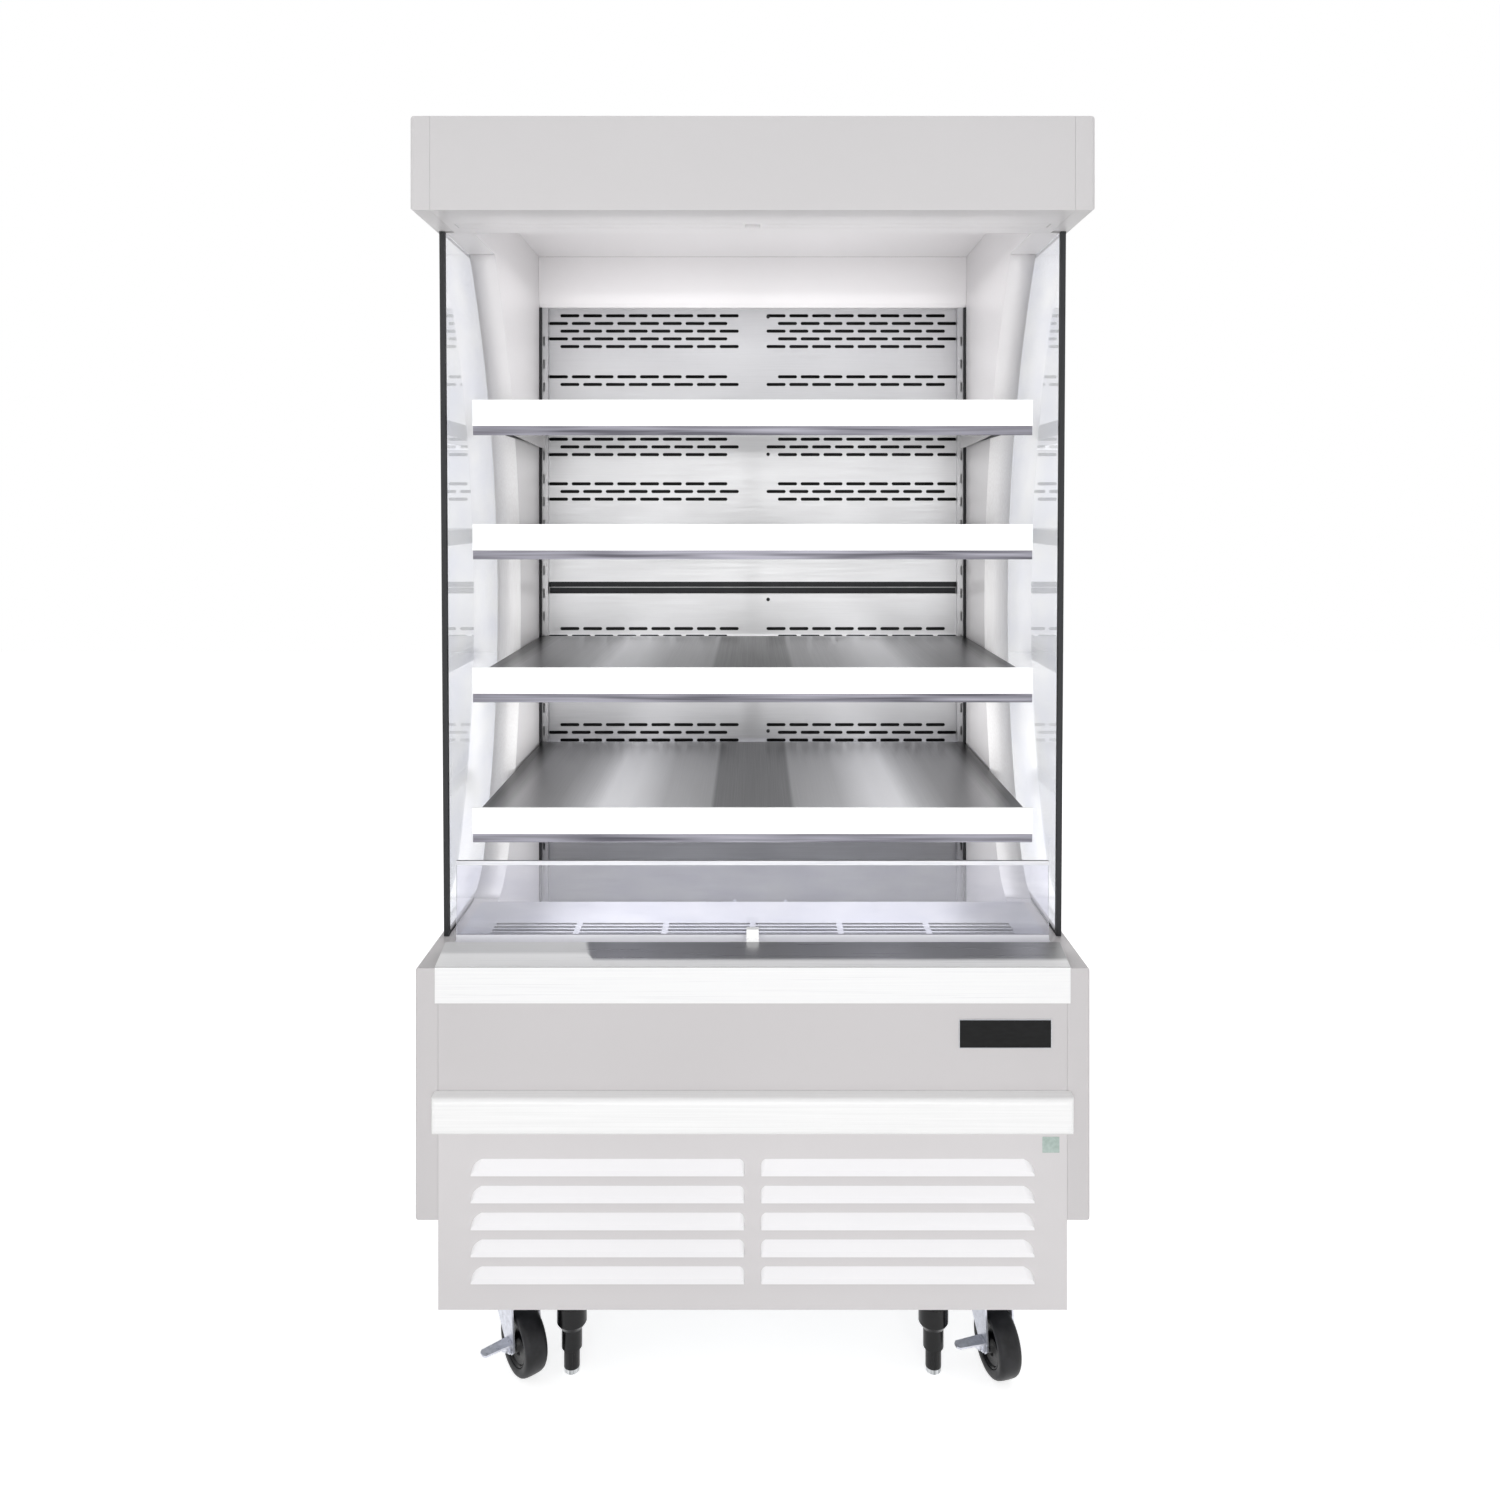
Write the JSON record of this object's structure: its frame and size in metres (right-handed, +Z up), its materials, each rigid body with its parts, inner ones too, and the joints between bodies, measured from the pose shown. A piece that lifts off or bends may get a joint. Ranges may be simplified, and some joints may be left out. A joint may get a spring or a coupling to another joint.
{
  "type": "open multideck display fridge",
  "caption": "Open-front upright refrigerated display cabinet with glass sides, shelves with price rails, a deck with a low guard, a louvred base and swivel casters.",
  "frame": {"origin": "on the floor, under the middle of the cabinet", "axes": "+Z up, +Y towards the back, +X to the right seen from the front"},
  "size_m": [1.056, 0.873, 2],
  "materials": {
    "grey_paint": "satin light grey paint",
    "foamed_panel": "painted skins over rigid foam",
    "side_glass": "clear tempered",
    "clear_acrylic": "clear acrylic",
    "white_paint": "gloss white paint",
    "white_plastic": "gloss white",
    "stainless_steel": "brushed",
    "lamp_cover": "frosted",
    "aluminium": "mill finish",
    "blind_cloth": "thin blind cloth",
    "zinc_plate": "zinc plated",
    "caster_tyre": "matte black",
    "black_plastic": "matte black",
    "dark_steel": "black paint"
  },
  "bodies": {
    "cabinet": {"head_fascia": "grey_paint", "head_cap_left": "grey_paint", "head_cap_right": "grey_paint", "head_soffit": "grey_paint", "ceiling_panel": "grey_paint", "upper_back_cover": "grey_paint", "end_panel_left": "grey_paint", "end_panel_right": "grey_paint", "front_panel": "grey_paint", "louvre_panel": "grey_paint", "rear_service_panel": "grey_paint", "insulated_body": "foamed_panel", "side_wall_left": "foamed_panel", "side_wall_right": "foamed_panel", "side_glass_left": "side_glass", "side_glass_right": "side_glass", "breath_guard": "clear_acrylic", "deck_rail": "white_paint", "bumper_rail": "white_plastic", "blind_catch": "white_plastic", "shelf_brackets": "stainless_steel", "shelf_uprights": "stainless_steel", "rear_panel_upper": "stainless_steel", "rear_panel_lower": "stainless_steel", "return_grille": "stainless_steel", "led_lamp": "lamp_cover", "air_honeycomb": "white_plastic", "blind_film": "blind_cloth", "base_frame": "grey_paint", "leg_sleeves": "black_plastic", "evaporator_coil": "aluminium", "condenser_coil": "aluminium", "fan_motors": "dark_steel", "compressor": "dark_steel", "control_box": "zinc_plate"},
    "blind_bar": {"blind_pull_bar": "grey_paint"},
    "blind_roller": {"blind_roller": "aluminium"},
    "deck_pan": {"deck_pan": "stainless_steel"},
    "condenser_fan": {"condenser_fan": "black_plastic"},
    "evaporator_fan": {"evaporator_fan": "black_plastic"},
    "levelling_foot_left": {"levelling_foot_left": "zinc_plate"},
    "levelling_foot_right": {"levelling_foot_right": "zinc_plate"},
    "shelf_1": {"shelf_1": "stainless_steel", "price_rail_1": "white_plastic"},
    "shelf_2": {"shelf_2": "stainless_steel", "price_rail_2": "white_plastic"},
    "shelf_3": {"shelf_3": "stainless_steel", "price_rail_3": "white_plastic"},
    "shelf_4": {"shelf_4": "stainless_steel", "price_rail_4": "white_plastic"},
    "caster_fork_front_left": {"caster_fork_front_left": "zinc_plate"},
    "caster_wheel_front_left": {"caster_wheel_front_left": "caster_tyre"},
    "caster_fork_front_right": {"caster_fork_front_right": "zinc_plate"},
    "caster_wheel_front_right": {"caster_wheel_front_right": "caster_tyre"},
    "caster_fork_rear_left": {"caster_fork_rear_left": "zinc_plate"},
    "caster_wheel_rear_left": {"caster_wheel_rear_left": "caster_tyre"},
    "caster_fork_rear_right": {"caster_fork_rear_right": "zinc_plate"},
    "caster_wheel_rear_right": {"caster_wheel_rear_right": "caster_tyre"},
    "brake_lever_front_left": {"brake_lever_front_left": "zinc_plate"},
    "brake_lever_front_right": {"brake_lever_front_right": "zinc_plate"}
  },
  "joints": [
    {"name": "blind_pull", "type": "slide", "parent": "cabinet", "child": "blind_bar", "axis": [0, 0, -1], "range_m": [0, 1.149], "stiffness_N_per_m": 20, "springref_m": -1.25, "deforming": ["blind_film"]},
    {"name": "blind_roller_spin", "type": "hinge", "parent": "cabinet", "child": "blind_roller", "pos_m": [0, -0.36, 1.9173], "axis": [1, 0, 0], "range_deg": [-3010, 10]},
    {"name": "deck_pan_lift", "type": "slide", "parent": "cabinet", "child": "deck_pan", "axis": [0, 0, 1], "range_m": [0, 0.06]},
    {"name": "condenser_fan_spin", "type": "hinge", "parent": "cabinet", "child": "condenser_fan", "pos_m": [0.251, -0.2757, 0.2678], "axis": [0, 1, 0], "continuous": true},
    {"name": "evaporator_fan_spin", "type": "hinge", "parent": "cabinet", "child": "evaporator_fan", "pos_m": [0, 0.0642, 0.484], "axis": [0, 0, 1], "continuous": true},
    {"name": "shelf_1_lift", "type": "slide", "parent": "cabinet", "child": "shelf_1", "axis": [0, 0, 1], "range_m": [0, 0.06]},
    {"name": "shelf_2_lift", "type": "slide", "parent": "cabinet", "child": "shelf_2", "axis": [0, 0, 1], "range_m": [0, 0.06]},
    {"name": "shelf_3_lift", "type": "slide", "parent": "cabinet", "child": "shelf_3", "axis": [0, 0, 1], "range_m": [0, 0.06]},
    {"name": "shelf_4_lift", "type": "slide", "parent": "cabinet", "child": "shelf_4", "axis": [0, 0, 1], "range_m": [0, 0.06]},
    {"name": "levelling_foot_left_screw", "type": "slide", "parent": "cabinet", "child": "levelling_foot_left", "axis": [0, 0, 1], "range_m": [-0.02, 0.012]},
    {"name": "levelling_foot_right_screw", "type": "slide", "parent": "cabinet", "child": "levelling_foot_right", "axis": [0, 0, 1], "range_m": [-0.02, 0.012]},
    {"name": "caster_swivel_front_left", "type": "hinge", "parent": "cabinet", "child": "caster_fork_front_left", "pos_m": [-0.3875, -0.322, 0.115], "axis": [0, 0, 1], "continuous": true},
    {"name": "caster_spin_front_left", "type": "hinge", "parent": "caster_fork_front_left", "child": "caster_wheel_front_left", "pos_m": [-0.37026, -0.34406, 0.051], "axis": [0.788, 0.6157, 0], "continuous": true},
    {"name": "brake_front_left", "type": "hinge", "parent": "caster_fork_front_left", "child": "brake_lever_front_left", "pos_m": [-0.37026, -0.34406, 0.051], "axis": [0.788, 0.6157, 0], "range_deg": [0, 22]},
    {"name": "caster_swivel_front_right", "type": "hinge", "parent": "cabinet", "child": "caster_fork_front_right", "pos_m": [0.3875, -0.322, 0.115], "axis": [0, 0, 1], "continuous": true},
    {"name": "caster_spin_front_right", "type": "hinge", "parent": "caster_fork_front_right", "child": "caster_wheel_front_right", "pos_m": [0.39522, -0.34892, 0.051], "axis": [0.9613, 0.2756, 0], "continuous": true},
    {"name": "brake_front_right", "type": "hinge", "parent": "caster_fork_front_right", "child": "brake_lever_front_right", "pos_m": [0.39522, -0.34892, 0.051], "axis": [0.9613, 0.2756, 0], "range_deg": [0, 22]},
    {"name": "caster_swivel_rear_left", "type": "hinge", "parent": "cabinet", "child": "caster_fork_rear_left", "pos_m": [-0.3875, 0.337, 0.115], "axis": [0, 0, 1], "continuous": true},
    {"name": "caster_spin_rear_left", "type": "hinge", "parent": "caster_fork_rear_left", "child": "caster_wheel_rear_left", "pos_m": [-0.37978, 0.31008, 0.051], "axis": [0.9613, 0.2756, 0], "continuous": true},
    {"name": "caster_swivel_rear_right", "type": "hinge", "parent": "cabinet", "child": "caster_fork_rear_right", "pos_m": [0.3875, 0.337, 0.115], "axis": [0, 0, 1], "continuous": true},
    {"name": "caster_spin_rear_right", "type": "hinge", "parent": "caster_fork_rear_right", "child": "caster_wheel_rear_right", "pos_m": [0.39522, 0.31008, 0.051], "axis": [0.9613, 0.2756, 0], "continuous": true}
  ],
  "couplings": [
    {"joint": "blind_roller_spin", "follows": "blind_pull", "rad_per_m": -45.455}
  ]
}
